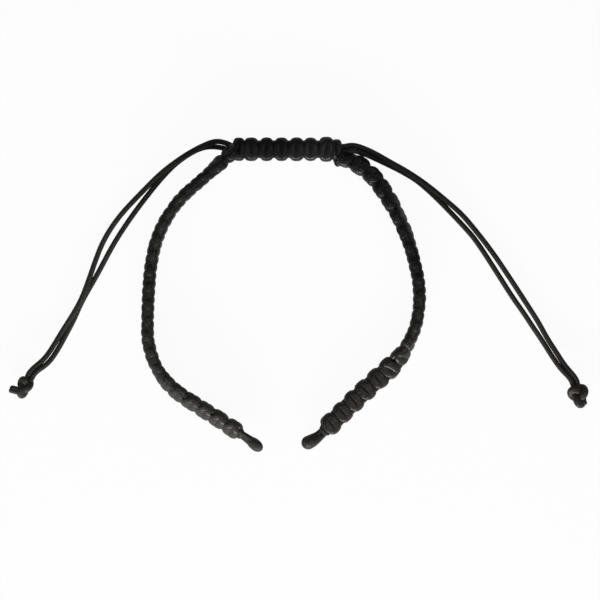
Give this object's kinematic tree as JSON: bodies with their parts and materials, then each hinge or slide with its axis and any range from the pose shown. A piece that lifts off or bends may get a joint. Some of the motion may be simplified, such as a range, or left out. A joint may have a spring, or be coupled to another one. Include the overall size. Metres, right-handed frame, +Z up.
{
  "type": "adjustable knotted cord bracelet",
  "caption": "Adjustable wrist cord tied in square knots, with a sliding knotted closure, open end loops and long tails that end in stopper knots.",
  "frame": {"origin": "on the table under the middle of the whole object's box", "axes": "+X along the closure and the longest extent, +Y from the end loops towards the closure, +Z up from the table"},
  "size_m": [0.1152, 0.0626, 0.0048],
  "materials": {
    "knotting_cord": "waxed black polyester cord, tightly knotted",
    "core_cord": "waxed black polyester cord"
  },
  "bodies": {
    "closure": {"closure_front_cord": "knotting_cord", "closure_back_cord": "knotting_cord", "closure_strands_of_left_arm": "core_cord", "closure_strands_of_right_arm": "core_cord", "left_core_run": "core_cord", "right_core_run": "core_cord"},
    "left_arm_1": {"left_arm_1_front_cord": "knotting_cord", "left_arm_1_back_cord": "knotting_cord", "left_arm_1_core": "core_cord"},
    "left_arm_2": {"left_arm_2_front_cord": "knotting_cord", "left_arm_2_back_cord": "knotting_cord", "left_arm_2_core": "core_cord"},
    "left_arm_3": {"left_arm_3_front_cord": "knotting_cord", "left_arm_3_back_cord": "knotting_cord", "left_arm_3_core": "core_cord"},
    "left_arm_4": {"left_arm_4_front_cord": "knotting_cord", "left_arm_4_back_cord": "knotting_cord", "left_arm_4_core": "core_cord", "left_end_loop": "core_cord"},
    "left_tails": {"left_tail_outer": "core_cord", "left_tail_inner": "core_cord"},
    "left_stopper": {"left_stopper_wrap": "core_cord", "left_stopper_strands": "core_cord"},
    "right_arm_1": {"right_arm_1_front_cord": "knotting_cord", "right_arm_1_back_cord": "knotting_cord", "right_arm_1_core": "core_cord"},
    "right_arm_2": {"right_arm_2_front_cord": "knotting_cord", "right_arm_2_back_cord": "knotting_cord", "right_arm_2_core": "core_cord"},
    "right_arm_3": {"right_arm_3_front_cord": "knotting_cord", "right_arm_3_back_cord": "knotting_cord", "right_arm_3_core": "core_cord"},
    "right_arm_4": {"right_arm_4_front_cord": "knotting_cord", "right_arm_4_back_cord": "knotting_cord", "right_arm_4_core": "core_cord", "right_end_loop": "core_cord"},
    "right_tails": {"right_tail_outer": "core_cord", "right_tail_inner": "core_cord"},
    "right_stopper": {"right_stopper_wrap": "core_cord", "right_stopper_strands": "core_cord"}
  },
  "joints": [
    {"name": "left_arm_slide", "type": "slide", "parent": "closure", "child": "left_arm_1", "axis": [-1, 0, 0], "range_m": [0, 0.05], "deforming": ["left_core_run"]},
    {"name": "right_arm_slide", "type": "slide", "parent": "closure", "child": "right_arm_1", "axis": [1, 0, 0], "range_m": [0, 0.05], "deforming": ["right_core_run"]},
    {"name": "left_flex_1", "type": "hinge", "parent": "left_arm_1", "child": "left_arm_2", "pos_m": [-0.02563, 0.01645, 0.0018], "axis": [0, 0, -1], "range_deg": [-1.5, 12]},
    {"name": "left_flex_2", "type": "hinge", "parent": "left_arm_2", "child": "left_arm_3", "pos_m": [-0.03036, -0.0022, 0.0018], "axis": [0, 0, -1], "range_deg": [-1.5, 12]},
    {"name": "left_flex_3", "type": "hinge", "parent": "left_arm_3", "child": "left_arm_4", "pos_m": [-0.02679, -0.01763, 0.0018], "axis": [0, 0, -1], "range_deg": [-1.5, 12]},
    {"name": "right_flex_1", "type": "hinge", "parent": "right_arm_1", "child": "right_arm_2", "pos_m": [0.01967, 0.01518, 0.0018], "axis": [0, 0, 1], "range_deg": [-1.5, 12]},
    {"name": "right_flex_2", "type": "hinge", "parent": "right_arm_2", "child": "right_arm_3", "pos_m": [0.02385, -0.00036, 0.0018], "axis": [0, 0, 1], "range_deg": [-1.5, 12]},
    {"name": "right_flex_3", "type": "hinge", "parent": "right_arm_3", "child": "right_arm_4", "pos_m": [0.01795, -0.01494, 0.0018], "axis": [0, 0, 1], "range_deg": [-0.9, 7.2]},
    {"name": "left_tails_swing", "type": "hinge", "parent": "closure", "child": "left_tails", "pos_m": [-0.0123, 0.0287, 0.0018], "axis": [0, 0, 1], "range_deg": [-60, 0]},
    {"name": "left_stopper_draw", "type": "slide", "parent": "left_tails", "child": "left_stopper", "axis": [0.5662, 0.8243, 0], "range_m": [0, 0.05], "deforming": ["left_tail_outer", "left_tail_inner"]},
    {"name": "right_tails_swing", "type": "hinge", "parent": "closure", "child": "right_tails", "pos_m": [0.0077, 0.0287, 0.0018], "axis": [0, 0, 1], "range_deg": [0, 60]},
    {"name": "right_stopper_draw", "type": "slide", "parent": "right_tails", "child": "right_stopper", "axis": [-0.6181, 0.7861, 0], "range_m": [0, 0.05], "deforming": ["right_tail_outer", "right_tail_inner"]}
  ],
  "couplings": [
    {"joint": "left_flex_2", "follows": "left_flex_1", "ratio": 1},
    {"joint": "left_flex_3", "follows": "left_flex_1", "ratio": 1},
    {"joint": "right_flex_2", "follows": "right_flex_1", "ratio": 1},
    {"joint": "right_flex_3", "follows": "right_flex_1", "ratio": 0.6},
    {"joint": "left_tails_swing", "follows": "left_arm_slide", "rad_per_m": -20.942},
    {"joint": "left_stopper_draw", "follows": "right_arm_slide", "ratio": 1},
    {"joint": "right_tails_swing", "follows": "right_arm_slide", "rad_per_m": 20.942},
    {"joint": "right_stopper_draw", "follows": "left_arm_slide", "ratio": 1}
  ]
}
